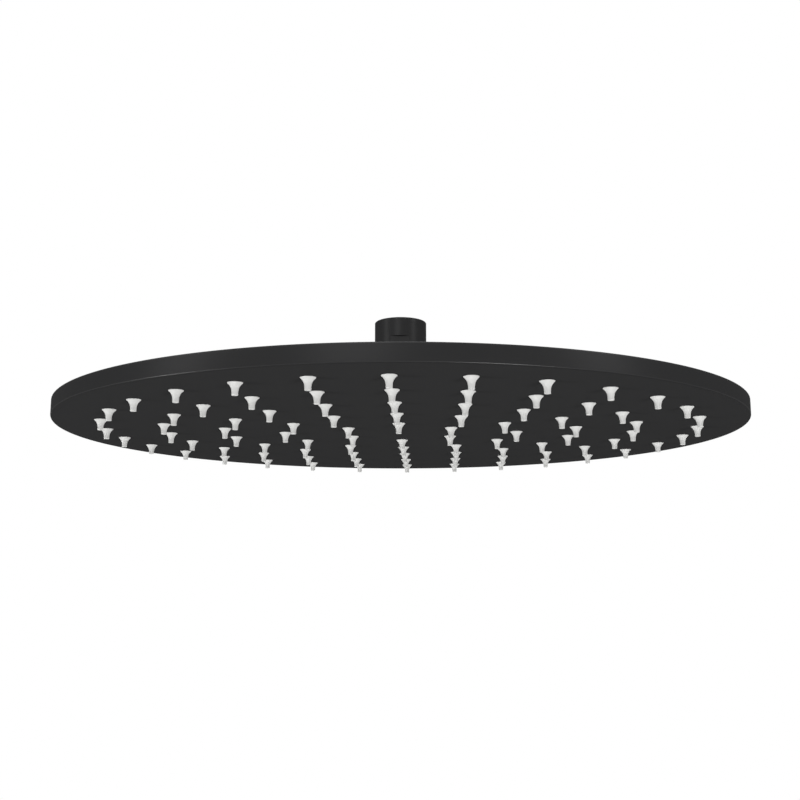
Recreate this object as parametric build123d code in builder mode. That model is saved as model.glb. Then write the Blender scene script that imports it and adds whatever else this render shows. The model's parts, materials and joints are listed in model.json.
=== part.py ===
from build123d import *
import os
from math import atan, cos, degrees, floor, radians, sin, sqrt

# Rain shower head: a slim pan of soft nozzles that hangs from a ball joint.
# Millimetres, +Z up. The origin is on the inlet's axis, where the inlet thread begins.

# Spray disc
face_radius = 150.0
rim_height = 6.7
rim_lower_round = 0.5
rim_upper_round = 0.35
rim_land = 12.5
rim_lip = 2.4
pan_floor = 1.2
cover_thickness = 1.4
cover_gap = 0.2
cover_bevel = 0.3

# Soft nozzles, in rings that each hold one set more than the ring inside it
mat_web = 0.8
mat_gap = 0.7
ring_pitch = 26.0
ring_set = 6
ring_margin = 1.5
nozzle_base_radius = 2.7
nozzle_tip_radius = 1.2
nozzle_flare = 2.0
nozzle_length = 4.4
nozzle_bore_radius = 0.6
nozzle_fit = 0.05

# Cover screws, the stay bosses under the inner ones, and the rim's seal
screw_radius = 1.5
screw_head_radius = 2.8
screw_head_land = 0.1
screw_length = 4.0
screw_socket = 2.0
screw_socket_depth = 0.8
screw_margin = 0.6
screw_fit = 0.05
screw_hole_spare = 0.6
rim_screws = 12
stay_screws = 6
stay_rings_inside = 2
stay_radius = 3.5
stay_gap = 0.4
seal_width = 1.6
seal_depth = 1.3
seal_inset = 1.1

# Connector with its inlet thread, spanner flats and inlet fittings
thread_radius = 10.48
thread_length = 11.0
mouth_chamfer = 0.4
connector_wall = 1.27
connector_bevel = 0.35
connector_taper_in = 2.15
connector_taper_up = 3.5
flat_depth = 0.75
flat_drop = 8.4
washer_thickness = 2.4
washer_bore_radius = 5.8
washer_shelf = 1.0
mesh_thickness = 0.4
mesh_grip = 1.0
mesh_hole_radius = 0.65
mesh_hole_pitch = 2.2
regulator_thickness = 2.0
regulator_hole_radius = 1.3
regulator_hole_circle = 4.2
regulator_holes = 6
insert_fit = 0.1

# Ball joint: the ball turns between a seat below it and a seal above it
ball_radius = 8.0
ball_gap = 0.1
ball_room = 0.3
ball_mouth_land = 0.9
seal_inner_angle = 46.0
seal_span = 26.0
seal_rim = 1.0
seat_inner_angle = 51.0
seat_span = 21.0
seat_fit = 0.1
follower_thickness = 1.6
lip_thickness = 1.8
lip_step = 0.3
lip_flare = 0.8
neck_radius = 4.5
water_radius = 3.0
stem_water_radius = 5.0

# Stem, collar and hub
collar_drop = 10.2
collar_thickness = 3.0
collar_shoulder = 0.5
collar_bevel = 0.5
stem_radius = 8.0
stem_fit = 0.05
stem_seal_width = 2.0
stem_seal_depth = 1.5
hub_height = 6.0
hub_edge = 1.8
hub_crown_wall = 6.0
hub_skirt = 8.0
hub_top_bevel = 0.4
spigot_wall = 3.0
spigot_fit = 0.1
gasket_thickness = 0.6
gasket_inset = 1.2
nut_thickness = 1.6
nut_wall = 3.0

# Radii of the connector, the ball's socket and the hub
connector_radius = thread_radius + connector_wall
socket_radius = ball_radius + ball_gap
chamber_radius = ball_radius + ball_room
pocket_radius = chamber_radius + washer_shelf
insert_radius = chamber_radius - insert_fit
mesh_radius = washer_bore_radius + mesh_grip
lip_radius = socket_radius * sin(radians(seat_inner_angle)) + lip_step
seal_hole_radius = socket_radius * sin(radians(seal_inner_angle))
seal_edge_rise = socket_radius * cos(radians(seal_inner_angle + seal_span))
seal_top_rise = socket_radius * cos(radians(seal_inner_angle)) + seal_rim
seat_edge_drop = socket_radius * cos(radians(seat_inner_angle + seat_span))
seat_floor_drop = socket_radius * cos(radians(seat_inner_angle))
ball_mouth_radius = water_radius + ball_mouth_land
hub_bore_radius = stem_radius + stem_fit
hub_crown_radius = stem_radius + hub_crown_wall
hub_radius = hub_crown_radius + hub_skirt
spigot_radius = stem_radius + spigot_wall
nut_inradius = spigot_radius + nut_wall

# Heights, counted down from the start of the thread
mouth_z = mouth_chamfer
flat_top_z = mouth_z - flat_drop
thread_end_z = -thread_length
washer_floor_z = thread_end_z - washer_thickness
mesh_floor_z = washer_floor_z + (washer_thickness - mesh_thickness) / 2
pocket_floor_z = washer_floor_z - regulator_thickness
ball_z = pocket_floor_z - follower_thickness - seal_top_rise
shelf_z = ball_z - seat_floor_drop - seat_fit
connector_foot_z = shelf_z - lip_thickness
collar_top_z = ball_z - collar_drop
hub_top_z = collar_top_z - collar_thickness
gasket_top_z = hub_top_z - hub_height
cover_top_z = gasket_top_z - gasket_thickness
ledge_z = cover_top_z - cover_thickness
nut_foot_z = ledge_z - nut_thickness
face_z = cover_top_z - rim_height
floor_z = face_z + pan_floor
tip_z = face_z - nozzle_length

# Radii and places on the disc
cavity_radius = face_radius - rim_land
lip_inner_radius = face_radius - rim_lip
cover_radius = lip_inner_radius - cover_gap
mat_radius = cavity_radius - mat_gap
mat_hole_radius = nut_inradius / cos(radians(30)) + mat_gap
ring_count = floor((mat_radius - ring_margin - nozzle_base_radius) / ring_pitch)
groove_inner_radius = cavity_radius + seal_inset
groove_outer_radius = groove_inner_radius + seal_width
groove_floor_z = ledge_z - seal_depth
screw_circle = cover_radius - screw_margin - screw_head_radius
stay_circle = (stay_rings_inside + 0.5) * ring_pitch
screw_head_height = cover_thickness - screw_head_land
screw_head_slope = degrees(atan((screw_head_radius - screw_radius) / screw_head_height))

stay_places = PolarLocations(stay_circle, stay_screws, 90).locations
screw_places = PolarLocations(screw_circle, rim_screws, 90).locations + stay_places
nozzle_places = []
for ring in range(1, ring_count + 1):
    nozzle_places += PolarLocations(ring * ring_pitch, ring * ring_set, 90).locations

os.makedirs("parts", exist_ok=True)

# Connector: one turned body, open from the inlet's mouth down to the ball's lip.
# Its two spanner flats start under a round collar and run out at the foot.
with BuildPart() as connector:
    with BuildSketch(Plane.XZ):
        with BuildLine():
            Polyline(
                (thread_radius, 0),
                (thread_radius + mouth_chamfer, mouth_z),
                (connector_radius - connector_bevel, mouth_z),
                (connector_radius, mouth_z - connector_bevel),
                (connector_radius, connector_foot_z + connector_taper_up),
                (connector_radius - connector_taper_in, connector_foot_z),
                (lip_radius + lip_flare, connector_foot_z),
                (lip_radius, shelf_z),
                (chamber_radius, shelf_z),
                (chamber_radius, pocket_floor_z),
                (pocket_radius, pocket_floor_z),
                (pocket_radius, thread_end_z),
                (thread_radius, thread_end_z),
                close=True,
            )
        make_face()
    revolve(axis=Axis.Z)
    with BuildSketch(Plane.XY.offset(flat_top_z)):
        with Locations((0, connector_radius), (0, -connector_radius)):
            Rectangle(2 * connector_radius, 2 * flat_depth)
    extrude(amount=connector_foot_z - flat_top_z, mode=Mode.SUBTRACT)
connector.part.label = "connector"
export_step(connector.part, "parts/connector.step")

# Inlet washer: a rubber ring with a groove inside that grips the filter's edge
with BuildPart() as inlet_washer:
    with BuildSketch(Plane.XZ):
        with Locations((washer_bore_radius, washer_floor_z)):
            Rectangle(
                pocket_radius - insert_fit - washer_bore_radius,
                washer_thickness,
                align=(Align.MIN, Align.MIN),
            )
        with Locations((washer_bore_radius, mesh_floor_z)):
            Rectangle(mesh_grip, mesh_thickness, align=(Align.MIN, Align.MIN), mode=Mode.SUBTRACT)
    revolve(axis=Axis.Z)
inlet_washer.part.label = "inlet_washer"
export_step(inlet_washer.part, "parts/inlet_washer.step")

# Filter: a disc with a middle hole and two rings of holes around it
with BuildPart() as filter_mesh:
    with BuildSketch(Plane.XY.offset(mesh_floor_z)):
        Circle(mesh_radius)
        Circle(mesh_hole_radius, mode=Mode.SUBTRACT)
        with PolarLocations(mesh_hole_pitch, 6):
            Circle(mesh_hole_radius, mode=Mode.SUBTRACT)
        with PolarLocations(2 * mesh_hole_pitch, 12):
            Circle(mesh_hole_radius, mode=Mode.SUBTRACT)
    extrude(amount=mesh_thickness)
filter_mesh.part.label = "filter_mesh"
export_step(filter_mesh.part, "parts/filter_mesh.step")

# Flow regulator: a disc with metering holes, under the washer
with BuildPart() as flow_regulator:
    with BuildSketch(Plane.XY.offset(pocket_floor_z)):
        Circle(pocket_radius - insert_fit)
        with PolarLocations(regulator_hole_circle, regulator_holes):
            Circle(regulator_hole_radius, mode=Mode.SUBTRACT)
    extrude(amount=regulator_thickness)
flow_regulator.part.label = "flow_regulator"
export_step(flow_regulator.part, "parts/flow_regulator.step")

# Seal follower: the ring between the regulator and the ball's seal
with BuildPart() as seal_follower:
    with BuildSketch(Plane.XY.offset(ball_z + seal_top_rise)):
        Circle(insert_radius)
        Circle(seal_hole_radius, mode=Mode.SUBTRACT)
    extrude(amount=follower_thickness)
seal_follower.part.label = "seal_follower"
export_step(seal_follower.part, "parts/seal_follower.step")

# Ball seal: a rubber ring whose underside follows the ball
with BuildPart() as ball_seal:
    with BuildSketch(Plane.XZ):
        with BuildLine():
            seal_arc = CenterArc((0, ball_z), socket_radius, 90 - seal_inner_angle - seal_span, seal_span)
            Polyline(
                seal_arc @ 1,
                (seal_hole_radius, ball_z + seal_top_rise),
                (insert_radius, ball_z + seal_top_rise),
                (insert_radius, ball_z + seal_edge_rise),
                seal_arc @ 0,
            )
        make_face()
    revolve(axis=Axis.Z)
ball_seal.part.label = "ball_seal"
export_step(ball_seal.part, "parts/ball_seal.step")

# Ball seat: the slippery ring that carries the ball and turns with it on the connector's lip
with BuildPart() as ball_seat:
    with BuildSketch(Plane.XZ):
        with BuildLine():
            seat_arc = CenterArc((0, ball_z), socket_radius, seat_inner_angle - 90, seat_span)
            Polyline(
                seat_arc @ 1,
                (chamber_radius - seat_fit, ball_z - seat_edge_drop),
                (chamber_radius - seat_fit, ball_z - seat_floor_drop),
                seat_arc @ 0,
            )
        make_face()
    revolve(axis=Axis.Z)
ball_seat.part.label = "ball_seat"
export_step(ball_seat.part, "parts/ball_seat.step")

# Ball stem: hollow ball, neck, hexagon collar and stem, turned from one bar
ball_mouth = (ball_mouth_radius, ball_z + sqrt(ball_radius**2 - ball_mouth_radius**2))
neck_top = (neck_radius, ball_z - sqrt(ball_radius**2 - neck_radius**2))
with BuildPart() as ball_stem:
    with BuildSketch(Plane.XZ):
        with BuildLine():
            ThreePointArc(ball_mouth, (ball_radius, ball_z), neck_top)
            Polyline(
                neck_top,
                (neck_radius, collar_top_z),
                (stem_radius, collar_top_z),
                (stem_radius, nut_foot_z),
                (stem_water_radius, nut_foot_z),
                (stem_water_radius, hub_top_z),
                (water_radius, hub_top_z + stem_water_radius - water_radius),
                (water_radius, ball_mouth[1]),
                ball_mouth,
            )
        make_face()
    revolve(axis=Axis.Z)
    with BuildSketch(Plane.XY.offset(hub_top_z)):
        RegularPolygon(stem_radius + collar_shoulder, 6, major_radius=False)
        Circle(stem_water_radius, mode=Mode.SUBTRACT)
    extrude(amount=collar_thickness)
    collar_rim = ball_stem.edges().filter_by(GeomType.LINE).filter_by(Plane.XY).group_by(Axis.Z)[-1]
    chamfer(collar_rim, collar_bevel)
ball_stem.part.label = "ball_stem"
export_step(ball_stem.part, "parts/ball_stem.step")

# Stem seal: a flat rubber ring in the hub's pocket, under the collar
with BuildPart() as stem_seal:
    with BuildSketch(Plane.XY.offset(hub_top_z - stem_seal_depth)):
        Circle(hub_bore_radius + stem_seal_width - stem_fit)
        Circle(hub_bore_radius, mode=Mode.SUBTRACT)
    extrude(amount=stem_seal_depth)
stem_seal.part.label = "stem_seal"
export_step(stem_seal.part, "parts/stem_seal.step")

# Hub: a turned cone on the cover, with a spigot that goes down through it
with BuildPart() as hub:
    with BuildSketch(Plane.XZ):
        with BuildLine():
            Polyline(
                (hub_radius, gasket_top_z),
                (hub_radius, gasket_top_z + hub_edge),
                (hub_crown_radius, hub_top_z - hub_top_bevel),
                (hub_crown_radius - hub_top_bevel, hub_top_z),
                (hub_bore_radius + stem_seal_width, hub_top_z),
                (hub_bore_radius + stem_seal_width, hub_top_z - stem_seal_depth),
                (hub_bore_radius, hub_top_z - stem_seal_depth),
                (hub_bore_radius, nut_foot_z),
                (spigot_radius, nut_foot_z),
                (spigot_radius, gasket_top_z),
                close=True,
            )
        make_face()
    revolve(axis=Axis.Z)
hub.part.label = "hub"
export_step(hub.part, "parts/hub.step")

# Hub gasket: a flat ring between the hub and the cover
with BuildPart() as hub_gasket:
    with BuildSketch(Plane.XY.offset(cover_top_z)):
        Circle(hub_radius - gasket_inset)
        Circle(spigot_radius + spigot_fit, mode=Mode.SUBTRACT)
    extrude(amount=gasket_thickness)
hub_gasket.part.label = "hub_gasket"
export_step(hub_gasket.part, "parts/hub_gasket.step")

# Hub nut: a thin nut on the spigot, inside the pan
with BuildPart() as hub_nut:
    with BuildSketch(Plane.XY.offset(nut_foot_z)):
        RegularPolygon(nut_inradius, 6, major_radius=False)
        Circle(spigot_radius + spigot_fit, mode=Mode.SUBTRACT)
    extrude(amount=nut_thickness)
hub_nut.part.label = "hub_nut"
export_step(hub_nut.part, "parts/hub_nut.step")

# Top cover: a flat disc with countersunk holes, flush with the rim
with BuildPart() as top_cover:
    with BuildSketch(Plane.XY.offset(ledge_z)):
        Circle(cover_radius)
        Circle(spigot_radius + spigot_fit, mode=Mode.SUBTRACT)
    extrude(amount=cover_thickness)
    chamfer(top_cover.edges().group_by(Axis.Z)[-1].sort_by(SortBy.RADIUS)[-1], cover_bevel)
    with Locations((0, 0, cover_top_z)):
        with Locations(*screw_places):
            CounterSinkHole(
                screw_radius + screw_fit,
                screw_head_radius + screw_fit,
                cover_thickness,
                counter_sink_angle=2 * screw_head_slope,
            )
top_cover.part.label = "top_cover"
export_step(top_cover.part, "parts/top_cover.step")

# One countersunk screw with a hexagon socket, then a copy of it at each place
with BuildPart() as screw:
    with BuildSketch(Plane.XZ):
        with BuildLine():
            Polyline(
                (0, 0),
                (screw_head_radius, 0),
                (screw_radius, -screw_head_height),
                (screw_radius, -screw_length),
                (0, -screw_length),
                close=True,
            )
        make_face()
    revolve(axis=Axis.Z)
    with BuildSketch():
        RegularPolygon(screw_socket / 2, 6, major_radius=False)
    extrude(amount=-screw_socket_depth, mode=Mode.SUBTRACT)

with BuildPart() as cover_screws:
    with Locations((0, 0, cover_top_z)):
        with Locations(*screw_places):
            add(screw.part)
cover_screws.part.label = "cover_screws"
export_step(cover_screws.part, "parts/cover_screws.step")

# Rim seal: a square cord in the groove of the pan's ledge
with BuildPart() as rim_seal:
    with BuildSketch(Plane.XY.offset(groove_floor_z)):
        Circle(groove_outer_radius)
        Circle(groove_inner_radius, mode=Mode.SUBTRACT)
    extrude(amount=seal_depth)
rim_seal.part.label = "rim_seal"
export_step(rim_seal.part, "parts/rim_seal.step")

# One nozzle: a plug through the pan's floor, a flare on the face and a slim tip
with BuildPart() as nozzle:
    with BuildSketch(Plane.XZ):
        with BuildLine():
            Polyline(
                (nozzle_bore_radius, floor_z),
                (nozzle_base_radius, floor_z),
                (nozzle_base_radius, face_z),
                (nozzle_tip_radius, face_z - nozzle_flare),
                (nozzle_tip_radius, tip_z),
                (nozzle_bore_radius, tip_z),
                close=True,
            )
        make_face()
    revolve(axis=Axis.Z)

# Nozzle mat: a thin web on the pan's floor that carries every nozzle
with BuildPart() as nozzle_mat:
    with BuildSketch(Plane.XY.offset(floor_z)):
        Circle(mat_radius)
        Circle(mat_hole_radius, mode=Mode.SUBTRACT)
        with Locations(*stay_places):
            Circle(stay_radius + stay_gap, mode=Mode.SUBTRACT)
        with Locations(*nozzle_places):
            Circle(nozzle_bore_radius, mode=Mode.SUBTRACT)
    extrude(amount=mat_web)
    with Locations(*nozzle_places):
        add(nozzle.part)
nozzle_mat.part.label = "nozzle_mat"
export_step(nozzle_mat.part, "parts/nozzle_mat.step")

# Face pan: the spray face and its rim in one piece, open at the top
with BuildPart() as face_pan:
    with BuildSketch(Plane.XZ):
        with BuildLine():
            Polyline(
                (0, face_z),
                (face_radius, face_z),
                (face_radius, cover_top_z),
                (lip_inner_radius, cover_top_z),
                (lip_inner_radius, ledge_z),
                (groove_outer_radius, ledge_z),
                (groove_outer_radius, groove_floor_z),
                (groove_inner_radius, groove_floor_z),
                (groove_inner_radius, ledge_z),
                (cavity_radius, ledge_z),
                (cavity_radius, floor_z),
                (0, floor_z),
                close=True,
            )
        make_face()
    revolve(axis=Axis.Z)
    outer_edges = face_pan.edges().filter_by(GeomType.CIRCLE).group_by(SortBy.RADIUS)[-1].sort_by(Axis.Z)
    fillet(outer_edges[0], rim_lower_round)
    fillet(outer_edges[-1], rim_upper_round)
    with BuildSketch(Plane.XY.offset(floor_z)):
        with Locations(*stay_places):
            Circle(stay_radius)
    extrude(amount=ledge_z - floor_z)
    with BuildSketch(Plane.XY.offset(ledge_z)):
        with Locations(*screw_places):
            Circle(screw_radius + screw_fit)
    extrude(amount=cover_thickness - screw_length - screw_hole_spare, mode=Mode.SUBTRACT)
    with BuildSketch(Plane.XY.offset(face_z)):
        with Locations(*nozzle_places):
            Circle(nozzle_base_radius + nozzle_fit)
    extrude(amount=pan_floor, mode=Mode.SUBTRACT)
face_pan.part.label = "face_pan"
export_step(face_pan.part, "parts/face_pan.step")

print("rings", ring_count, "nozzles", len(nozzle_places))
print("ball centre", round(ball_z, 3), "face", round(face_z, 3), "tips", round(tip_z, 3))
print("height from mouth to face", round(mouth_z - face_z, 3))
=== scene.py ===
# %% [markdown]
# # A rain shower head, dressed in Blender
# The solids of the shower head come in as a fixed frame: every piece already has its real size and place.
# This lesson gives each surface its finish and adds the fine forms that the solids leave out: the rim's true
# round, the trumpet shape of the soft nozzles, the inlet's pipe thread and the woven filter. At the end it
# sets the background, the floor and the lamps.

# %% Load the frame and read the boxes of its parts
import json
from math import cos, pi, radians, sin, tau

import bpy
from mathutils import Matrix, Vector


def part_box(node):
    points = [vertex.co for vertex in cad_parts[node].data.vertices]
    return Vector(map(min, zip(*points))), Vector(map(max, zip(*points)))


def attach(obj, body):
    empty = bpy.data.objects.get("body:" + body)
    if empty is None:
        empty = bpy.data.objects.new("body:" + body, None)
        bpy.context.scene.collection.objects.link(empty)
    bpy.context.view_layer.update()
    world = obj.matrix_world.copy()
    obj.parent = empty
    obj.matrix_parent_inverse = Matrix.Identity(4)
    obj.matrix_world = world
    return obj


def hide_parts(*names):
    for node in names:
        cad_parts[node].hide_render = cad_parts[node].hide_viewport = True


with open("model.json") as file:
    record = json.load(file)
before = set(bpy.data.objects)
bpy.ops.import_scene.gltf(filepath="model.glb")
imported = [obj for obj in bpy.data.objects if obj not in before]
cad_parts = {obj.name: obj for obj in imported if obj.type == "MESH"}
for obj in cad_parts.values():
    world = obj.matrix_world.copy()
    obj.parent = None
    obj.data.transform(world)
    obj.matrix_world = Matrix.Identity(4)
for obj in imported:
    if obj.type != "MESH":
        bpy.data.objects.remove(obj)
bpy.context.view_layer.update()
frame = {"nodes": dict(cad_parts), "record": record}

MM = 0.001
scene = bpy.context.scene
nodes = frame["nodes"]

# %% [markdown]
# ## Reading sizes from the frame
# A piece fits without any trial if its sizes come from the solids that it belongs to. They could be typed in
# again, but then a change to the solids would leave the dressed pieces behind. The spray face is the lowest
# level of the pan, the nozzle tips are the lowest level of the mat, and the thread ends on the washer.

# %% Levels and radii of the solids
pan_low, pan_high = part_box("face_pan")
mat_low, mat_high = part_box("nozzle_mat")
filter_low, filter_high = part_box("filter_mesh")
face_z = pan_low.z
face_radius = pan_high.x
thread_foot_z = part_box("inlet_washer")[1].z
inlet = next(mount for mount in frame["record"]["mounts"] if mount["name"] == "inlet")
thread_root_radius = inlet["dims"]["r_mm"] * MM
print("face level", round(face_z / MM, 2), "mm, face radius", round(face_radius / MM, 2), "mm")
print("thread ends at", round(thread_foot_z / MM, 2), "mm")
print("thread's root radius", round(thread_root_radius / MM, 2), "mm")

# %% [markdown]
# ## The camera
# The picture looks up at the spray face from a little below it, so the near rim is at the top and the
# nozzles hang below. A camera could be aimed at a point, but here it is set by what can be measured: how far
# it stands from the pipe's axis, how far below the face, which way it points and how much it is tipped up.

# %% Place the camera
CAMERA_DISTANCE = 0.465
CAMERA_BELOW_FACE = 0.0675
CAMERA_STANDS_AT = radians(1.65)
CAMERA_POINTS_TO = radians(1.683)
CAMERA_TIP_UP = radians(10.03)
CAMERA_LENS = 46.89
CAMERA_SENSOR = 36.0
CAMERA_NEAR = 0.01

camera = bpy.data.objects.new("camera", bpy.data.cameras.new("camera"))
scene.collection.objects.link(camera)
camera.data.sensor_fit = "HORIZONTAL"
camera.data.sensor_width = CAMERA_SENSOR
camera.data.lens = CAMERA_LENS
camera.data.clip_start = CAMERA_NEAR
camera.location = (
    CAMERA_DISTANCE * sin(CAMERA_STANDS_AT),
    -CAMERA_DISTANCE * cos(CAMERA_STANDS_AT),
    face_z - CAMERA_BELOW_FACE,
)
camera.rotation_euler = (pi / 2 + CAMERA_TIP_UP, 0, CAMERA_POINTS_TO)
scene.camera = camera
print("camera at", [round(v, 3) for v in camera.location])

# %% [markdown]
# ## Helpers for node trees
# Shader groups and Geometry Nodes trees are both made of nodes with named sockets. A few small helpers keep
# the later cells short: they add a node and fill its sockets, do one step of arithmetic, mix two colours,
# measure where a point is, and make a new group with named inputs and outputs.

# %% Helpers that add nodes
def fill(tree, socket, value):
    """Links a socket to another one, or sets its own value."""
    if isinstance(value, bpy.types.NodeSocket):
        tree.links.new(value, socket)
    else:
        socket.default_value = value


def add(tree, kind, inputs=None, **options):
    """Adds a node: options are its own settings, and inputs go to its sockets by name or number."""
    made = tree.nodes.new(kind)
    for name, value in options.items():
        setattr(made, name, value)
    for name, value in (inputs or {}).items():
        fill(tree, made.inputs[name], value)
    return made


def calc(tree, operation, *terms):
    """One step of arithmetic. Returns the socket of its result."""
    step = add(tree, "ShaderNodeMath", operation=operation)
    for socket, term in zip(step.inputs, terms):
        fill(tree, socket, term)
    return step.outputs[0]


def mix_colours(tree, factor, first, second, blend="MIX"):
    """Mixes two colours. Returns the socket of the result."""
    mixer = add(tree, "ShaderNodeMix", data_type="RGBA", blend_type=blend)
    colour_sockets = [s for s in mixer.inputs if s.type == "RGBA"]
    fill(tree, mixer.inputs["Factor"], factor)
    fill(tree, colour_sockets[0], first)
    fill(tree, colour_sockets[1], second)
    return next(s for s in mixer.outputs if s.type == "RGBA")


print("node helpers ready")


# %% Helpers that measure where a point is
def object_place(tree):
    """Where a point is on its object. Returns the socket of that place."""
    return add(tree, "ShaderNodeTexCoord").outputs["Object"]


def object_level(tree):
    """How high a point is on its object. Returns the socket of that height."""
    return add(tree, "ShaderNodeSeparateXYZ", {"Vector": object_place(tree)}).outputs["Z"]


def axis_distance(tree):
    """How far a point is from the pipe's axis. Returns the socket of that distance."""
    flat = add(tree, "ShaderNodeVectorMath", {0: object_place(tree), 1: (1, 1, 0)}, operation="MULTIPLY")
    length = add(tree, "ShaderNodeVectorMath", {0: flat.outputs["Vector"]}, operation="LENGTH")
    return length.outputs["Value"]


def ramp(tree, value, low, high, **options):
    """0 below the low value, 1 above the high one. Returns the socket of that mask."""
    limits = {"Value": value, "From Min": low, "From Max": high}
    return add(tree, "ShaderNodeMapRange", limits, **options).outputs[0]


print("measuring helpers ready")

# %% A helper that makes a group
FLOAT = "NodeSocketFloat"
WHOLE = "NodeSocketInt"
COLOUR = "NodeSocketColor"
GEOMETRY = "NodeSocketGeometry"
OBJECT = "NodeSocketObject"
MATERIAL = "NodeSocketMaterial"


def new_group(kind, name, inputs, outputs):
    """A node group with named sockets. Returns the tree, its input sockets and its output sockets."""
    tree = bpy.data.node_groups.new(name, kind)
    for socket_name, socket_type in inputs:
        tree.interface.new_socket(name=socket_name, in_out="INPUT", socket_type=socket_type)
    for socket_name, socket_type in outputs:
        tree.interface.new_socket(name=socket_name, in_out="OUTPUT", socket_type=socket_type)
    given = tree.nodes.new("NodeGroupInput")
    result = tree.nodes.new("NodeGroupOutput")
    return tree, given.outputs, result.inputs


print("group helper ready")

# %% [markdown]
# ## Shared surface effects
# Two effects come back in several finishes. A sprayed coat, a moulded rubber and a moulded plastic all have
# a fine pebbled skin, with slow changes of tone over it. Turned metal has fine lines that run around the
# pipe's axis. Painted pictures would need unwrapped surfaces, while noise on Object coordinates fits every
# piece as it is. Each effect is a shader group, built once and given its own values in each material.

# %% Pebbled skin: fine grains and slow changes of tone
SLOW_CHANGE_SIZE = 45 * MM
PEBBLE_DETAIL = 2.0
SLOW_DETAIL = 3.0


def make_pebbled_skin():
    """A skin whose colour and roughness swing with a fine noise and a slow one."""
    tree, given, result = new_group(
        "ShaderNodeTree",
        "pebbled_skin",
        [
            ("Colour", COLOUR),
            ("Tone Change", FLOAT),
            ("Pebble Size", FLOAT),
            ("Roughness", FLOAT),
            ("Roughness Change", FLOAT),
        ],
        [("Colour", COLOUR), ("Roughness", FLOAT), ("Height", FLOAT)],
    )
    place = object_place(tree)
    fine_inputs = {
        "Vector": place,
        "Scale": calc(tree, "DIVIDE", 1.0, given["Pebble Size"]),
        "Detail": PEBBLE_DETAIL,
    }
    slow_inputs = {"Vector": place, "Scale": 1 / SLOW_CHANGE_SIZE, "Detail": SLOW_DETAIL}
    pebbles = add(tree, "ShaderNodeTexNoise", fine_inputs).outputs[0]
    slow = add(tree, "ShaderNodeTexNoise", slow_inputs).outputs[0]
    # Each noise lies around 0.5, so the sum of the two lies around 1.
    swing = calc(tree, "SUBTRACT", calc(tree, "ADD", pebbles, slow), 1.0)
    tone = calc(tree, "MULTIPLY_ADD", swing, given["Tone Change"], 1.0)
    rough = calc(tree, "MULTIPLY_ADD", swing, given["Roughness Change"], given["Roughness"])
    tree.links.new(mix_colours(tree, 1.0, given["Colour"], tone, "MULTIPLY"), result["Colour"])
    tree.links.new(rough, result["Roughness"])
    tree.links.new(pebbles, result["Height"])
    return tree


pebbled_skin = make_pebbled_skin()
print("group", pebbled_skin.name, "has", len(pebbled_skin.nodes), "nodes")

# %% Turned lines: marks that run around the axis of a turned piece
LINE_DETAIL = 4.0


def make_turned_lines():
    """Lines that change with the distance from the axis and with the height, and not with the angle."""
    tree, given, result = new_group(
        "ShaderNodeTree",
        "turned_lines",
        [("Line Size", FLOAT), ("Strength", FLOAT)],
        [("Tone", FLOAT), ("Height", FLOAT)],
    )
    way = calc(tree, "ADD", axis_distance(tree), object_level(tree))
    count = calc(tree, "DIVIDE", way, given["Line Size"])
    line_inputs = {"W": count, "Scale": 1.0, "Detail": LINE_DETAIL}
    lines = add(tree, "ShaderNodeTexNoise", line_inputs, noise_dimensions="1D").outputs[0]
    swing = calc(tree, "SUBTRACT", lines, 0.5)
    tree.links.new(calc(tree, "MULTIPLY_ADD", swing, given["Strength"], 1.0), result["Tone"])
    tree.links.new(lines, result["Height"])
    return tree


turned_lines = make_turned_lines()
print("group", turned_lines.name, "has", len(turned_lines.nodes), "nodes")

# %% [markdown]
# ## The finishes
# Every material holds its own Principled BSDF, and the groups only feed it colour, roughness and height. A
# group could hold the shader as well, but the export reads shaders only in the material itself. What is the
# same all over, such as the metal share or the weight of a clear coat, is set on the shader.

# %% A helper that builds one finish
LINE_SIZE = 0.3 * MM
RELIEF_DEPTH = 0.1 * MM
ROUGHNESS_SWING = 0.3


def finish(name, colour, roughness, pebble, tone=0.12, bump=0.1, lines=0.0, **constants):
    """A pebbled skin, with turned lines over it where lines is above 0. Constants go to the shader."""
    made = bpy.data.materials.new(name)
    made.use_nodes = True
    tree = made.node_tree
    shader = tree.nodes["Principled BSDF"]
    for socket, value in constants.items():
        shader.inputs[socket.replace("_", " ")].default_value = value
    skin_inputs = {
        "Colour": (*colour, 1.0),
        "Tone Change": tone,
        "Pebble Size": pebble,
        "Roughness": roughness,
        "Roughness Change": ROUGHNESS_SWING * roughness,
    }
    skin = add(tree, "ShaderNodeGroup", skin_inputs, node_tree=pebbled_skin).outputs
    colour_out = skin["Colour"]
    height_out = skin["Height"]
    if lines > 0:
        line_inputs = {"Line Size": LINE_SIZE, "Strength": lines}
        turning = add(tree, "ShaderNodeGroup", line_inputs, node_tree=turned_lines).outputs
        colour_out = mix_colours(tree, 1.0, colour_out, turning["Tone"], "MULTIPLY")
        height_out = calc(tree, "MULTIPLY_ADD", turning["Height"], lines, height_out)
    relief_inputs = {"Height": height_out, "Strength": bump, "Distance": RELIEF_DEPTH}
    relief = add(tree, "ShaderNodeBump", relief_inputs)
    tree.links.new(colour_out, shader.inputs["Base Color"])
    tree.links.new(skin["Roughness"], shader.inputs["Roughness"])
    tree.links.new(relief.outputs["Normal"], shader.inputs["Normal"])
    return made


print("finish helper ready")

# %% [markdown]
# ## The black coat
# The head is sprayed black all over: matt on the broad spray face and the cover, satin on the rim and the
# turned connector, where lamps draw soft bands. Satin is a thin clear layer over a dark base. A common clear
# lacquer would mirror the white room at a grazing angle and turn the black grey, while a dense layer of
# little weight mirrors much the same from every side, so that is used. The matt coat has less of it.

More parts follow.
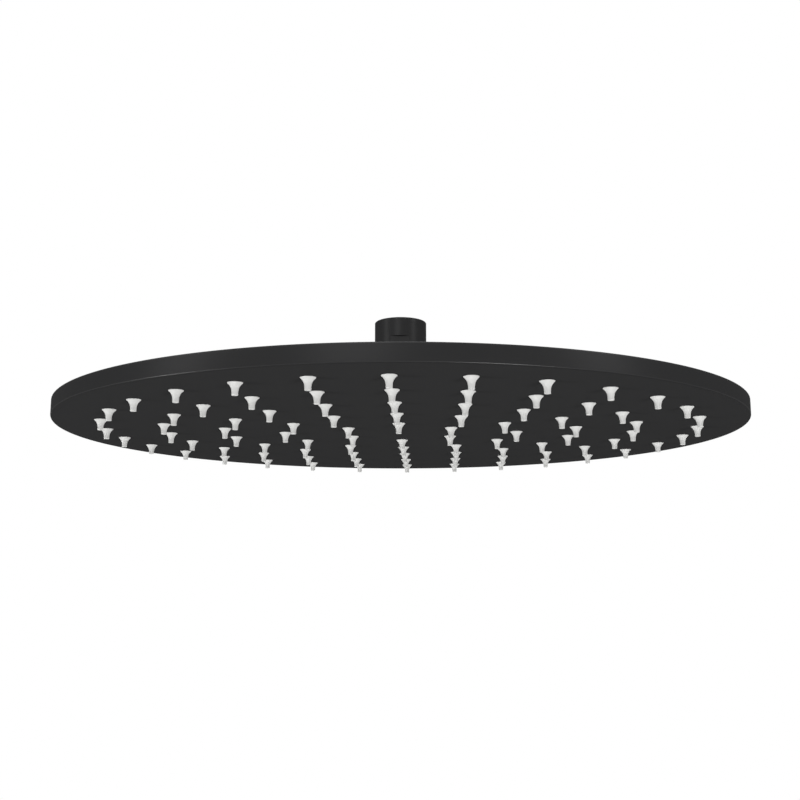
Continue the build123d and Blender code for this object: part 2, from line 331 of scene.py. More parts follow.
# %% Matt for the broad faces, satin for the turnings
COAT_BLACK = (0.022, 0.022, 0.0225)
COAT_GRAIN = 0.5 * MM
COAT_BASE_ROUGHNESS = 0.6
CLEAR_INDEX = 2.5
CLEAR_ROUGHNESS = 0.3
MATT_WEIGHT = 0.012
SATIN_WEIGHT = 0.04


def black_coat(name, colour, weight, **skin):
    """A black base without a gloss of its own, under a dense clear layer of the given weight."""
    return finish(
        name,
        colour,
        roughness=COAT_BASE_ROUGHNESS,
        pebble=COAT_GRAIN,
        Specular_IOR_Level=0.0,
        Coat_Weight=weight,
        Coat_IOR=CLEAR_INDEX,
        Coat_Roughness=CLEAR_ROUGHNESS,
        **skin,
    )


coated_sheet = black_coat("matt_black_sheet", COAT_BLACK, MATT_WEIGHT, tone=0.06)
coated_turning = black_coat("satin_black_turning", COAT_BLACK, SATIN_WEIGHT, lines=0.08)
print("black finishes:", coated_sheet.name, "and", coated_turning.name)

# %% [markdown]
# ## Rubbers, plastics and metals
# The nozzles are soft silicone in a light grey, and the seals are black rubber. Inside the connector there
# are a natural white plastic, a green plastic and a stainless filter. The screws are blackened, and the nut
# in the pan is plain turned brass. Each could have a tree of its own, but they differ only in colour, grain
# and gloss, so one helper makes them all.

# %% The other finishes
SILICONE_GREY = (0.54, 0.54, 0.53)
RUBBER_BLACK = (0.02, 0.02, 0.02)
STEEL_BLACK = (0.09, 0.09, 0.095)
STEEL_BARE = (0.6, 0.6, 0.59)
NATURAL_WHITE = (0.78, 0.78, 0.75)
MOULDED_GREEN = (0.22, 0.45, 0.3)
BRASS_YELLOW = (0.72, 0.52, 0.24)
RUBBER = {"Specular_IOR_Level": 0.3}
METAL = {"Metallic": 1.0}

silicone = finish("grey_silicone", SILICONE_GREY, roughness=0.55, pebble=0.35 * MM, tone=0.05, **RUBBER)
seal_rubber = finish("black_rubber", RUBBER_BLACK, roughness=0.75, pebble=0.3 * MM, bump=0.3, **RUBBER)
blackened = finish("blackened_steel", STEEL_BLACK, roughness=0.38, pebble=0.25 * MM, tone=0.2, **METAL)
stainless = finish("stainless_wire", STEEL_BARE, roughness=0.3, pebble=0.2 * MM, tone=0.15, **METAL)
white_plastic = finish("natural_plastic", NATURAL_WHITE, roughness=0.45, pebble=0.6 * MM, tone=0.05)
green_plastic = finish("green_plastic", MOULDED_GREEN, roughness=0.4, pebble=0.6 * MM, tone=0.08)
brass = finish("turned_brass", BRASS_YELLOW, roughness=0.3, pebble=0.4 * MM, lines=0.25, **METAL)
other_finishes = [silicone, seal_rubber, blackened, stainless, white_plastic, green_plastic, brass]
print("other finishes:", [made.name for made in other_finishes])

# %% One finish for each node
node_finishes = {
    coated_sheet: ["face_pan", "top_cover"],
    coated_turning: ["connector", "ball_stem", "hub"],
    silicone: ["nozzle_mat"],
    seal_rubber: ["inlet_washer", "ball_seal", "stem_seal", "hub_gasket", "rim_seal"],
    blackened: ["cover_screws"],
    stainless: ["filter_mesh"],
    white_plastic: ["ball_seat", "seal_follower"],
    green_plastic: ["flow_regulator"],
    brass: ["hub_nut"],
}
for material, names in node_finishes.items():
    for name in names:
        nodes[name].data.materials.clear()
        nodes[name].data.materials.append(material)
print("finishes on", sum(len(names) for names in node_finishes.values()), "nodes")

# %% [markdown]
# ## Handing a piece over, and growing one with Geometry Nodes
# Each finished piece rides on a body of the frame, so that it moves with it. A tree that repeats or sweeps a
# shape hangs on an object as a modifier. The export needs plain meshes, so the second helper sets the tree's
# inputs, lets Blender work the tree out once, keeps the result as the object's own mesh and takes the
# modifier away.

# %% Helpers that hand a piece over and grow one
SMOOTH_ANGLE = radians(35)


def hand_over(piece, body, replaced=()):
    """Shades a piece smoothly and gives it to a body, in place of the replaced solids if there are any."""
    piece.data.shade_smooth()
    piece.data.set_sharp_from_angle(angle=SMOOTH_ANGLE)
    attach(piece, body)
    if replaced:
        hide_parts(*replaced)
    print(piece.name, "has", len(piece.data.polygons), "faces")


def grow(name, mesh, tree, values, body, replaced=()):
    """Runs a tree on a mesh with the given inputs, and hands the result over."""
    piece = bpy.data.objects.new(name, mesh)
    scene.collection.objects.link(piece)
    modifier = piece.modifiers.new(tree.name, "NODES")
    modifier.node_group = tree
    for item in tree.interface.items_tree:
        if item.in_out == "INPUT" and item.name in values:
            modifier[item.identifier] = values[item.name]
    depsgraph = bpy.context.evaluated_depsgraph_get()
    shape = bpy.data.meshes.new_from_object(piece.evaluated_get(depsgraph))
    piece.modifiers.clear()
    piece.data = shape
    shape.name = name
    # Joined shapes can bring slots of their own, so every face is pointed at the one that is kept.
    shape.materials.clear()
    shape.materials.append(values["Material"])
    shape.polygons.foreach_set("material_index", [0] * len(shape.polygons))
    hand_over(piece, body, replaced)


print("piece helpers ready")

# %% [markdown]
# ## Turning a profile
# Many pieces of a shower head are round about an axis. Blender's Screw and Spin turn a profile too, but
# they leave a seam to be merged. Here a closed profile of a few points is carried around the axis, and its
# last row is joined to the first, which gives a closed ring-shaped mesh without any seam.

# %% Turn a closed profile about the pipe's axis
def turned(name, profile, sides):
    """A ring-shaped mesh from (radius, height) points, listed clockwise as seen from -Y."""
    rows = len(profile)
    points = []
    for side in range(sides):
        turn = tau * side / sides
        points += [(r * cos(turn), r * sin(turn), z) for r, z in profile]
    faces = []
    for side in range(sides):
        here = side * rows
        there = (side + 1) % sides * rows
        for row in range(rows):
            after = (row + 1) % rows
            faces.append((here + row, here + after, there + after, there + row))
    mesh = bpy.data.meshes.new(name)
    mesh.from_pydata(points, [], faces)
    return mesh


print("lathe helper ready")

# %% [markdown]
# ## The rim's true round
# Seen from close by, the disc's edge should be a true circle, and the solids come with a coarse one. A finer
# copy of the whole pan would be heavy, so a thin turned ring with the same rounds lies over the edge alone.
# It reaches a hair past the pan's own faces, so that no two faces share a plane.

# %% The profile of the ring over the pan's rim
RIM_LOWER_ROUND = 0.5 * MM
RIM_UPPER_ROUND = 0.35 * MM
RIM_DEPTH = 1.2 * MM
RIM_HAIR = 0.003 * MM
ROUND_STEPS = 6


def quarter_round(middle_radius, middle_z, size, first_turn):
    """Points of a quarter circle about its middle, clockwise from the first turn."""
    turns = [first_turn - pi / 2 * step / ROUND_STEPS for step in range(ROUND_STEPS + 1)]
    return [(middle_radius + size * cos(turn), middle_z + size * sin(turn)) for turn in turns]


rim_radius = face_radius + RIM_HAIR
rim_top_z = pan_high.z + RIM_HAIR
rim_foot_z = face_z - RIM_HAIR
rim_profile = [
    (rim_radius - RIM_DEPTH, rim_foot_z),
    (rim_radius - RIM_DEPTH, rim_top_z),
    *quarter_round(rim_radius - RIM_UPPER_ROUND, rim_top_z - RIM_UPPER_ROUND, RIM_UPPER_ROUND, pi / 2),
    *quarter_round(rim_radius - RIM_LOWER_ROUND, rim_foot_z + RIM_LOWER_ROUND, RIM_LOWER_ROUND, 0.0),
]
print("rim profile has", len(rim_profile), "points")

# %% [markdown]
# ## The polish on the rim's rounds
# Edges like these get polished a little by wiping, and draw a fine light line where a lamp stands low. The
# ring has the satin coat over a darker base than the face: the same black coat, with painted shade in its
# colour, as the rim gets more light than the downward face. Its clear layer has more weight on the upper
# round and in a band of the lower one. A second material on some of the faces would end in a hard step,
# while a mask that is measured from the ring's own levels fades in and out.

# %% The ring, with its polished band
# The rim's base colour is darker than the rest of the same black coat: painted shade that offsets the
# stronger light falling on the rim.
RIM_BLACK_PAINTED_SHADE = (0.0132, 0.0132, 0.0136)
RIM_SIDES = 720
POLISHED_WEIGHT = 0.085
# Heights over the ring's foot: the band fades in from start to low, and out from high to the round's end.
BAND_START = 0.15 * MM
BAND_LOW = 0.25 * MM
BAND_HIGH = 0.42 * MM

coated_rim = black_coat("satin_black_rim_painted_shade", RIM_BLACK_PAINTED_SHADE, SATIN_WEIGHT, tone=0.06)
rim_tree = coated_rim.node_tree
rim_level = object_level(rim_tree)
rim_half = (rim_top_z - rim_foot_z) / 2
from_middle = calc(rim_tree, "ABSOLUTE", calc(rim_tree, "SUBTRACT", rim_level, rim_foot_z + rim_half))
off_wall = ramp(rim_tree, from_middle, rim_half - RIM_LOWER_ROUND, rim_half - BAND_HIGH)
off_face = ramp(rim_tree, rim_level, rim_foot_z + BAND_START, rim_foot_z + BAND_LOW)
polish = calc(rim_tree, "MINIMUM", off_wall, off_face)
rim_weight = calc(rim_tree, "MULTIPLY_ADD", polish, POLISHED_WEIGHT - SATIN_WEIGHT, SATIN_WEIGHT)
rim_tree.links.new(rim_weight, rim_tree.nodes["Principled BSDF"].inputs["Coat Weight"])

round_rim = bpy.data.objects.new("round_rim", turned("round_rim", rim_profile, RIM_SIDES))
round_rim.data.materials.append(coated_rim)
scene.collection.objects.link(round_rim)
hand_over(round_rim, "head")

# %% [markdown]
# ## One soft nozzle
# A rain head's nozzles are moulded in soft silicone, so that lime can be rubbed off them. Each starts as a
# wide thin lip on the face, draws in like a trumpet and ends in a slim straight tip with a small bore. The
# flare could be drawn as a Bezier curve, but a power curve needs only one exponent between the two radii: it
# is steep at the lip, then nearly straight.

# %% The profile of one nozzle
NOZZLE_LIP_RADIUS = 2.7 * MM
NOZZLE_LIP_EDGE = 0.15 * MM
NOZZLE_TIP_RADIUS = 1.15 * MM
NOZZLE_TIP_ROUND = 0.12 * MM
NOZZLE_BORE_RADIUS = 0.6 * MM
NOZZLE_FLARE_POWER = 3.3
NOZZLE_FLARE_STEPS = 9
NOZZLE_SIDES = 28
MAT_WEB = 0.8 * MM

tip_z = mat_low.z
plug_top_z = mat_high.z - MAT_WEB
lip_z = face_z - NOZZLE_LIP_EDGE
flare_end_z = tip_z + NOZZLE_TIP_ROUND
flare = []
for step in range(NOZZLE_FLARE_STEPS + 1):
    share = step / NOZZLE_FLARE_STEPS
    spread = (1 - share) ** NOZZLE_FLARE_POWER
    radius = NOZZLE_TIP_RADIUS + (NOZZLE_LIP_RADIUS - NOZZLE_TIP_RADIUS) * spread
    flare.append((radius, lip_z + (flare_end_z - lip_z) * share))
nozzle_profile = [
    (NOZZLE_BORE_RADIUS, plug_top_z),
    (NOZZLE_LIP_RADIUS, plug_top_z),
    *flare,
    (NOZZLE_TIP_RADIUS - NOZZLE_TIP_ROUND, tip_z),
    (NOZZLE_BORE_RADIUS, tip_z),
]
nozzle = bpy.data.objects.new("one_nozzle", turned("one_nozzle", nozzle_profile, NOZZLE_SIDES))
print("one nozzle has", len(nozzle.data.polygons), "faces")

# %% [markdown]
# ## The nozzle field
# The nozzles stand in rings around the middle. Each ring holds six more than the ring inside it, so a
# nozzle's number gives its ring by a square root, and what is left over gives its angle. A loop could place
# them one by one, but a tree can be set anew by its inputs: it makes as many points as there are nozzles,
# moves each to its place by that rule and puts a nozzle on it. The web that joins the nozzles inside the pan
# is the object's own mesh, and the tree cuts the bores and the holes for the pan's stays into it.

# %% The places of the nozzles, as a rule on a point's number
NOZZLE_RINGS = 5
FIRST_RING_NOZZLES = 6


def nozzle_place(tree, first, ring_step):
    """The place of a nozzle from its number. Returns the socket of that place."""
    # The first n rings hold first * n * (n + 1) / 2 nozzles. Solved for n, this gives the ring of a number.
    number = add(tree, "GeometryNodeInputIndex").outputs[0]
    middle = calc(tree, "DIVIDE", calc(tree, "ADD", number, 0.5), first)
    root = calc(tree, "SQRT", calc(tree, "MULTIPLY_ADD", middle, 8.0, 1.0))
    ring = calc(tree, "FLOOR", calc(tree, "MULTIPLY_ADD", root, 0.5, 0.5))
    inside = calc(tree, "MULTIPLY", calc(tree, "SUBTRACT", ring, 1.0), ring)
    before = calc(tree, "MULTIPLY", calc(tree, "MULTIPLY", inside, 0.5), first)
    in_ring = calc(tree, "SUBTRACT", number, before)
    share = calc(tree, "DIVIDE", in_ring, calc(tree, "MULTIPLY", ring, first))
    angle = calc(tree, "MULTIPLY_ADD", share, tau, pi / 2)
    reach = calc(tree, "MULTIPLY", ring, ring_step)
    across = calc(tree, "MULTIPLY", reach, calc(tree, "COSINE", angle))
    along = calc(tree, "MULTIPLY", reach, calc(tree, "SINE", angle))
    return add(tree, "ShaderNodeCombineXYZ", {"X": across, "Y": along}).outputs[0]


print("nozzles in all:", FIRST_RING_NOZZLES * NOZZLE_RINGS * (NOZZLE_RINGS + 1) // 2)


# %% Helpers that copy, join, move and dress shapes
def copies(tree, points, shape):
    """One copy of a shape on each point. Returns the socket of the copies."""
    return add(tree, "GeometryNodeInstanceOnPoints", {"Points": points, "Instance": shape}).outputs[0]


def join(tree, *shapes):
    """Joins shapes. Returns the socket of the result."""
    joined = add(tree, "GeometryNodeJoinGeometry")
    for shape in shapes:
        tree.links.new(shape, joined.inputs[0])
    return joined.outputs[0]


def moved(tree, shape, **how):
    """Moves a shape by a Translation or turns it by a Rotation. Returns the socket of the result."""
    return add(tree, "GeometryNodeTransform", {"Geometry": shape, **how}).outputs[0]


def lifted(tree, shape, level):
    """Moves a shape from level 0 to another one. Returns the socket of the result."""
    return moved(tree, shape, Translation=add(tree, "ShaderNodeCombineXYZ", {"Z": level}).outputs[0])


def dress(tree, shape, material, result):
    """Ends a tree: makes copies real and gives them their material."""
    real = add(tree, "GeometryNodeRealizeInstances", {"Geometry": shape})
    dressed = add(tree, "GeometryNodeSetMaterial", {"Geometry": real.outputs[0], "Material": material})
    tree.links.new(dressed.outputs[0], result["Geometry"])


print("shape helpers ready")

# %% The tree of the nozzle field
BORE_SIDES = 16
STAY_SIDES = 32


def make_nozzle_field():
    """A web with a bore for each nozzle and a hole for each stay, and the nozzles under it."""
    tree, given, result = new_group(
        "GeometryNodeTree",
        "nozzle_field",
        [
            ("Web", GEOMETRY),
            ("Nozzle", OBJECT),
            ("Rings", WHOLE),
            ("Ring Step", FLOAT),
            ("Nozzles In First Ring", WHOLE),
            ("Bore Radius", FLOAT),
            ("Stays", WHOLE),
            ("Stay Circle", FLOAT),
            ("Stay Hole Radius", FLOAT),
            ("Web Level", FLOAT),
            ("Cut Depth", FLOAT),
            ("Material", MATERIAL),
        ],
        [("Geometry", GEOMETRY)],
    )
    first = given["Nozzles In First Ring"]
    pairs = calc(tree, "MULTIPLY_ADD", given["Rings"], given["Rings"], given["Rings"])
    count = calc(tree, "MULTIPLY", calc(tree, "MULTIPLY", pairs, 0.5), first)
    place = nozzle_place(tree, first, given["Ring Step"])
    points = add(tree, "GeometryNodePoints", {"Count": count, "Position": place}).outputs[0]
    shape = add(tree, "GeometryNodeObjectInfo", {"Object": given["Nozzle"]}).outputs["Geometry"]
    circle_size = {"Vertices": given["Stays"], "Radius": given["Stay Circle"]}
    circle = add(tree, "GeometryNodeMeshCircle", circle_size).outputs[0]
    stay_points = moved(tree, circle, Rotation=(0, 0, pi / 2))
    depth = given["Cut Depth"]
    bore_size = {"Vertices": BORE_SIDES, "Radius": given["Bore Radius"], "Depth": depth}
    bore = add(tree, "GeometryNodeMeshCylinder", bore_size).outputs[0]
    stay_size = {"Vertices": STAY_SIDES, "Radius": given["Stay Hole Radius"], "Depth": depth}
    stay = add(tree, "GeometryNodeMeshCylinder", stay_size).outputs[0]
    cutters = join(tree, copies(tree, points, bore), copies(tree, stay_points, stay))
    in_place = lifted(tree, cutters, given["Web Level"])
    real_cutters = add(tree, "GeometryNodeRealizeInstances", {"Geometry": in_place}).outputs[0]
    cut_inputs = {"Mesh 1": given["Web"], "Mesh 2": real_cutters}
    web = add(tree, "GeometryNodeMeshBoolean", cut_inputs, operation="DIFFERENCE").outputs[0]
    dress(tree, join(tree, web, copies(tree, points, shape)), given["Material"], result)
    return tree


nozzle_field_tree = make_nozzle_field()
print("tree", nozzle_field_tree.name, "has", len(nozzle_field_tree.nodes), "nodes")

# %% Grow the nozzle field in place of the plain mat
RING_STEP = 26 * MM
STAYS = 6
STAY_CIRCLE = 2.5 * RING_STEP
STAY_HOLE_RADIUS = 3.9 * MM
WEB_HOLE_RADIUS = 16.87 * MM
WEB_SIDES = 96

web_profile = [
    (WEB_HOLE_RADIUS, mat_high.z),
    (mat_high.x, mat_high.z),
    (mat_high.x, plug_top_z),
    (WEB_HOLE_RADIUS, plug_top_z),
]
grow(
    "soft_nozzles",
    turned("nozzle_web", web_profile, WEB_SIDES),
    nozzle_field_tree,
    {
        "Nozzle": nozzle,
        "Rings": NOZZLE_RINGS,
        "Ring Step": RING_STEP,
        "Nozzles In First Ring": FIRST_RING_NOZZLES,
        "Bore Radius": NOZZLE_BORE_RADIUS,
        "Stays": STAYS,
        "Stay Circle": STAY_CIRCLE,
        "Stay Hole Radius": STAY_HOLE_RADIUS,
        "Web Level": mat_high.z - MAT_WEB / 2,
        "Cut Depth": 2 * MAT_WEB,
        "Material": silicone,
    },
    "head",
    ["nozzle_mat"],
)

# %% [markdown]
# ## The inlet's pipe thread
# The head screws onto a half-inch pipe, so the connector's bore has a right-hand thread. Rings would look
# alike from afar, but a thread is a small profile carried along a helix, which is what Spiral and Curve to
# Mesh do. The profile is a trapezoid that stands on the wall, and its scale falls to almost nothing at both
# ends, as a cutting tool leaves it.

# %% The tree of the thread
THREAD_END_SCALE = 0.05


def make_inner_thread():
    """A ridge on the wall of a bore, along a right-hand helix."""
    tree, given, result = new_group(
        "GeometryNodeTree",
        "inner_thread",
        [
            ("Geometry", GEOMETRY),
            ("Root Radius", FLOAT),
            ("Pitch", FLOAT),
            ("Turns", FLOAT),
            ("Depth", FLOAT),
            ("Root Width", FLOAT),
            ("Crest Width", FLOAT),
            ("Fade Turns", FLOAT),
            ("Foot Level", FLOAT),
            ("Points In A Turn", WHOLE),
            ("Material", MATERIAL),
        ],
        [("Geometry", GEOMETRY)],
    )
    helix_size = {
        "Resolution": given["Points In A Turn"],
        "Rotations": given["Turns"],
        "Start Radius": given["Root Radius"],
        "End Radius": given["Root Radius"],
        "Height": calc(tree, "MULTIPLY", given["Pitch"], given["Turns"]),
    }
    helix = add(tree, "GeometryNodeCurveSpiral", helix_size).outputs[0]
    upright = add(tree, "GeometryNodeSetCurveNormal", {"Curve": helix}, mode="Z_UP").outputs[0]
    ridge_size = {
        "Bottom Width": given["Root Width"],
        "Top Width": given["Crest Width"],
        "Height": given["Depth"],
        "Offset": 0.0,
    }
    ridge = add(tree, "GeometryNodeCurvePrimitiveQuadrilateral", ridge_size, mode="TRAPEZOID").outputs[0]
    half_depth = calc(tree, "MULTIPLY", given["Depth"], 0.5)
    stand = add(tree, "ShaderNodeCombineXYZ", {"Y": half_depth}).outputs[0]
    standing = moved(tree, ridge, Translation=stand)
    way = add(tree, "GeometryNodeSplineParameter").outputs["Factor"]
    end_way = calc(tree, "MINIMUM", way, calc(tree, "SUBTRACT", 1.0, way))
    fade = calc(tree, "DIVIDE", calc(tree, "MULTIPLY", end_way, given["Turns"]), given["Fade Turns"])
    sweep = {
        "Curve": upright,
        "Profile Curve": moved(tree, standing, Rotation=(0, 0, -pi / 2)),
        "Scale": calc(tree, "MAXIMUM", calc(tree, "MINIMUM", fade, 1.0), THREAD_END_SCALE),
        "Fill Caps": True,
    }
    thread = add(tree, "GeometryNodeCurveToMesh", sweep).outputs[0]
    dress(tree, lifted(tree, thread, given["Foot Level"]), given["Material"], result)
    return tree


inner_thread_tree = make_inner_thread()
print("tree", inner_thread_tree.name, "has", len(inner_thread_tree.nodes), "nodes")

# %% Grow the thread on the connector's bore
THREAD_PITCH = 1.814 * MM
THREAD_DEPTH = 1.16 * MM
THREAD_ROOT_WIDTH = 1.55 * MM
THREAD_CREST_WIDTH = 0.36 * MM
THREAD_SINK = 0.03 * MM
THREAD_END_GAP = 0.3 * MM
THREAD_FADE_TURNS = 0.5
THREAD_TURN_POINTS = 64

thread_height = -thread_foot_z - 2 * THREAD_END_GAP
grow(
    "inlet_thread",
    bpy.data.meshes.new("inlet_thread_start"),
    inner_thread_tree,
    {
        "Root Radius": thread_root_radius + THREAD_SINK,
        "Pitch": THREAD_PITCH,
        "Turns": thread_height / THREAD_PITCH,
        "Depth": THREAD_DEPTH + THREAD_SINK,
        "Root Width": THREAD_ROOT_WIDTH,
        "Crest Width": THREAD_CREST_WIDTH,
        "Fade Turns": THREAD_FADE_TURNS,
        "Foot Level": thread_foot_z + THREAD_END_GAP,
        "Points In A Turn": THREAD_TURN_POINTS,
        "Material": coated_turning,
    },
    "connector",
)

# %% [markdown]
# ## The woven filter
# A disc of stainless wire cloth keeps grit out of the joint and the nozzles. A pattern in a material could
# only paint the wires, and a flat grid would let them pass through each other. In a plain weave each wire
# goes over one crossing wire and under the next, so its height follows a cosine, and neighbours are half a
# wave apart. The tree draws one straight line for each wire, cuts it to the chord of the disc, bends it by
# that cosine and gives it a round section. The second set is the same with the wave turned over, a quarter
# turn round. The pressed rim of the disc is the object's own mesh.

# %% One set of parallel wires
WIRE_SIDES = 6


def numbered_lines(tree, count, points_in_line):
    """Straight lines from -1 to 1 along X. Returns the sockets of the lines and of each line's number."""
    ends = {"Start": (-1, 0, 0), "End": (1, 0, 0)}
    line = add(tree, "GeometryNodeCurvePrimitiveLine", ends).outputs[0]
    fine = add(tree, "GeometryNodeResampleCurve", {"Curve": line, "Count": points_in_line}).outputs[0]
    points = add(tree, "GeometryNodePoints", {"Count": count}).outputs[0]
    number = add(tree, "GeometryNodeInputIndex").outputs[0]
    marks = {"Geometry": copies(tree, points, fine), "Name": "wire", "Value": number}
    marked = add(tree, "GeometryNodeStoreNamedAttribute", marks, data_type="FLOAT", domain="INSTANCE")
    real = add(tree, "GeometryNodeRealizeInstances", {"Geometry": marked.outputs[0]}).outputs[0]
    wire = add(tree, "GeometryNodeInputNamedAttribute", {"Name": "wire"}, data_type="FLOAT").outputs[0]
    return real, wire


def wire_set(tree, given, wave_start):
    """Parallel wires that together fill a disc. Returns the socket of their mesh."""
    lines, wire = numbered_lines(tree, given["Wires"], given["Points In A Wire"])
    from_middle = calc(tree, "MULTIPLY_ADD", calc(tree, "SUBTRACT", given["Wires"], 1.0), -0.5, wire)
    offset = calc(tree, "MULTIPLY", from_middle, given["Wire Step"])
    radius_square = calc(tree, "MULTIPLY", given["Radius"], given["Radius"])
    offset_square = calc(tree, "MULTIPLY", offset, offset)
    chord_square = calc(tree, "SUBTRACT", radius_square, offset_square)
    half_chord = calc(tree, "SQRT", calc(tree, "MAXIMUM", chord_square, 0.0))
    place = add(tree, "GeometryNodeInputPosition").outputs[0]
    share = add(tree, "ShaderNodeSeparateXYZ", {"Vector": place}).outputs["X"]
    along = calc(tree, "MULTIPLY", share, half_chord)
    steps = calc(tree, "ADD", calc(tree, "DIVIDE", along, given["Wire Step"]), from_middle)
    wave = calc(tree, "COSINE", calc(tree, "MULTIPLY_ADD", steps, pi, wave_start))
    height = calc(tree, "MULTIPLY_ADD", wave, given["Wire Radius"], given["Level"])
    bent_place = add(tree, "ShaderNodeCombineXYZ", {"X": along, "Y": offset, "Z": height}).outputs[0]
    bent = add(tree, "GeometryNodeSetPosition", {"Geometry": lines, "Position": bent_place}).outputs[0]
    section_size = {"Resolution": WIRE_SIDES, "Radius": given["Wire Radius"]}
    section = add(tree, "GeometryNodeCurvePrimitiveCircle", section_size).outputs[0]
    sweep = {"Curve": bent, "Profile Curve": section, "Fill Caps": True}
    return add(tree, "GeometryNodeCurveToMesh", sweep).outputs[0]


print("wire helpers ready")


# %% The tree of the woven filter
def make_woven_filter():
    """Two sets of wires across each other, in a rim."""
    tree, given, result = new_group(
        "GeometryNodeTree",
        "woven_filter",
        [
            ("Rim", GEOMETRY),
            ("Radius", FLOAT),
            ("Wires", WHOLE),
            ("Wire Step", FLOAT),
            ("Wire Radius", FLOAT),
            ("Points In A Wire", WHOLE),
            ("Level", FLOAT),
            ("Material", MATERIAL),
        ],
        [("Geometry", GEOMETRY)],
    )
    one_way = wire_set(tree, given, 0.0)
    other_way = moved(tree, wire_set(tree, given, pi), Rotation=(0, 0, pi / 2))
    dress(tree, join(tree, given["Rim"], one_way, other_way), given["Material"], result)
    return tree


woven_filter_tree = make_woven_filter()
print("tree", woven_filter_tree.name, "has", len(woven_filter_tree.nodes), "nodes")

# %% Grow the filter in place of the plain disc
FILTER_WIRES = 15
FILTER_RIM = 0.9 * MM
FILTER_SIDES = 64
POINTS_PER_CROSSING = 8

filter_radius = filter_high.x
filter_thickness = filter_high.z - filter_low.z
cloth_radius = filter_radius - FILTER_RIM / 2
filter_rim_profile = [
    (filter_radius - FILTER_RIM, filter_high.z),
    (filter_radius, filter_high.z),
    (filter_radius, filter_low.z),
    (filter_radius - FILTER_RIM, filter_low.z),
]
# Two wires lie over each other at a crossing, so the cloth is four wire radii thick.
wire_radius = filter_thickness / 4
grow(
    "woven_filter",
    turned("filter_rim", filter_rim_profile, FILTER_SIDES),
    woven_filter_tree,
    {
        "Radius": cloth_radius,
        "Wires": FILTER_WIRES,
        "Wire Step": 2 * cloth_radius / FILTER_WIRES,
        "Wire Radius": wire_radius,
        "Points In A Wire": POINTS_PER_CROSSING * FILTER_WIRES + 1,
        "Level": (filter_low.z + filter_high.z) / 2,
        "Material": stainless,
    },
    "connector",
    ["filter_mesh"],
)

# %% [markdown]
# ## Background and daylight
# Daylight from all around comes from the world. One strength would make either the background grey or the
# object too light, so the world is plain white for what the camera, a mirror or a pane would see, and softer
# for the light that falls on surfaces.

# %% The world
WHITE = (1, 1, 1, 1)
WORLD_LIGHT = 0.5


def seen_directly(tree):
    """1 for rays of the camera, of mirrors and of panes, else 0. Returns the socket of that mask."""
    rays = add(tree, "ShaderNodeLightPath").outputs
    through = calc(tree, "MAXIMUM", rays["Is Glossy Ray"], rays["Is Transmission Ray"])
    return calc(tree, "MAXIMUM", rays["Is Camera Ray"], through)


world = bpy.data.worlds.new("white_room")
scene.world = world
world.use_nodes = True
sky = world.node_tree
strength = calc(sky, "MULTIPLY_ADD", seen_directly(sky), 1 - WORLD_LIGHT, WORLD_LIGHT)
fill(sky, sky.nodes["Background"].inputs["Color"], WHITE)
fill(sky, sky.nodes["Background"].inputs["Strength"], strength)
scene.view_settings.view_transform = "Standard"
print("world light", WORLD_LIGHT)

# %% [markdown]
# ## The floor
# The pale floor lies far below, as under a real overhead shower. A floor with an end would draw a line
# across the picture, so it keeps the shadow in its middle and fades into the white of the room further out.

# %% The floor's disc
FLOOR_DROP = 1.5
FLOOR_RADIUS = 5.0
FLOOR_SIDES = 64

floor_points = []
for side in range(FLOOR_SIDES):
    turn = tau * side / FLOOR_SIDES
    floor_points.append((FLOOR_RADIUS * cos(turn), FLOOR_RADIUS * sin(turn), face_z - FLOOR_DROP))
floor_mesh = bpy.data.meshes.new("floor")
floor_mesh.from_pydata(floor_points, [], [tuple(range(FLOOR_SIDES))])
floor = bpy.data.objects.new("floor", floor_mesh)
scene.collection.objects.link(floor)
print("floor is", FLOOR_DROP, "m below the face")

# %% The floor's paint
FLOOR_COLOUR = (0.86, 0.86, 0.855, 1.0)
FLOOR_ROUGHNESS = 0.9
FLOOR_FADE_FROM = 0.6
FLOOR_FADE_TO = 3.5

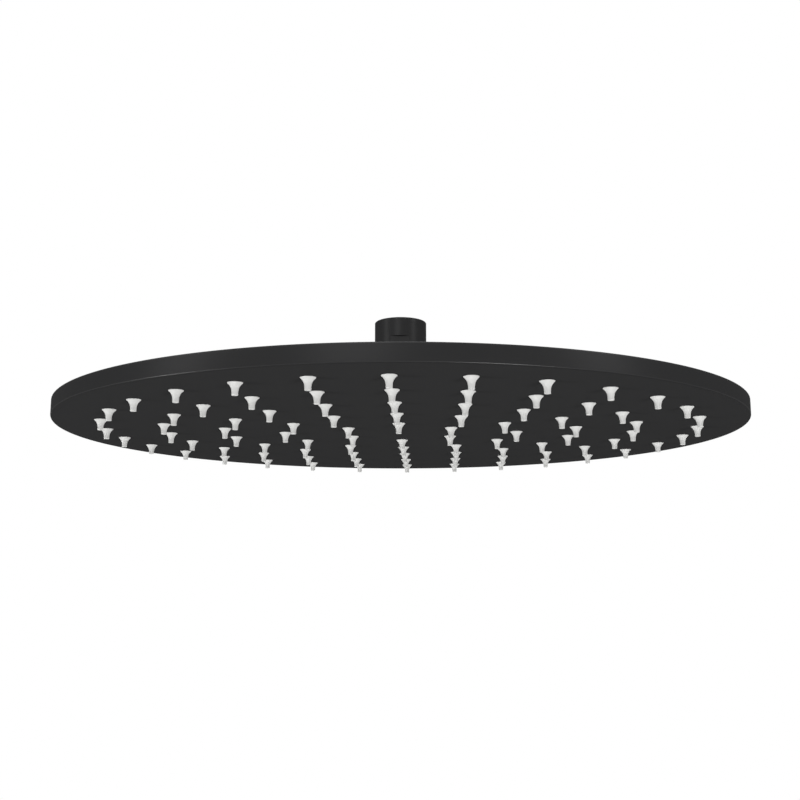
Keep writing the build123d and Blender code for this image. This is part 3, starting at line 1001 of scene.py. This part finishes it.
floor_paint = bpy.data.materials.new("pale_floor")
floor_paint.use_nodes = True
floor_tree = floor_paint.node_tree
floor_shader = floor_tree.nodes["Principled BSDF"]
floor_shader.inputs["Base Color"].default_value = FLOOR_COLOUR
floor_shader.inputs["Roughness"].default_value = FLOOR_ROUGHNESS
from_axis = axis_distance(floor_tree)
fade = ramp(floor_tree, from_axis, FLOOR_FADE_FROM, FLOOR_FADE_TO, interpolation_type="SMOOTHSTEP")
white_share = calc(floor_tree, "MULTIPLY", fade, seen_directly(floor_tree))
white_glow = add(floor_tree, "ShaderNodeEmission", {"Color": WHITE, "Strength": 1.0}).outputs[0]
faded_inputs = {0: white_share, 1: floor_shader.outputs[0], 2: white_glow}
faded = add(floor_tree, "ShaderNodeMixShader", faded_inputs).outputs[0]
floor_tree.links.new(faded, floor_tree.nodes["Material Output"].inputs["Surface"])
floor_mesh.materials.append(floor_paint)
print("floor fades from", FLOOR_FADE_FROM, "to", FLOOR_FADE_TO, "m")

# %% [markdown]
# ## The lamps
# Three upright soft boxes stand round the front and draw the bands on rim and connector. Two lower ones
# light the nozzles under the disc and draw the light line on the rim's lower edge. One overhead lights the
# cover and the rim's upper edge, and a wide one behind keeps the back from going dark. Small lamps would
# draw hard dots on the coat, so all of them are broad.

# %% The soft boxes
def soft_box(name, heading, rise, distance, size, power):
    """A soft box that faces the disc. Heading counts from straight in front, rise from the face's level."""
    lamp = bpy.data.objects.new(name, bpy.data.lights.new(name, "AREA"))
    scene.collection.objects.link(lamp)
    lamp.data.shape = "RECTANGLE"
    lamp.data.size, lamp.data.size_y = size
    lamp.data.energy = power
    turn = radians(heading)
    lift = radians(rise)
    reach = distance * cos(lift)
    lamp.location = (reach * sin(turn), -reach * cos(turn), face_z + distance * sin(lift))
    lamp.rotation_euler = (pi / 2 - lift, 0, turn)
    return lamp


lamps = [
    soft_box("left_strip", heading=-64, rise=18, distance=1.5, size=(0.45, 1.0), power=4.5),
    soft_box("front_strip", heading=-12, rise=18, distance=1.5, size=(0.55, 1.0), power=4.5),
    soft_box("right_strip", heading=61, rise=18, distance=1.5, size=(0.45, 1.0), power=4.3),
    soft_box("low_left", heading=-71, rise=-22, distance=1.5, size=(0.35, 0.25), power=12),
    soft_box("low_right", heading=31, rise=-22, distance=1.5, size=(0.4, 0.25), power=14),
    soft_box("overhead", heading=0, rise=80, distance=1.4, size=(0.6, 0.6), power=13),
    soft_box("back", heading=165, rise=30, distance=1.6, size=(0.8, 0.8), power=8),
]
print("lamps", [lamp.name for lamp in lamps])

# %% [markdown]
# ## The end
# Nothing more is built after the lamps.

# %% Finish
print("done")
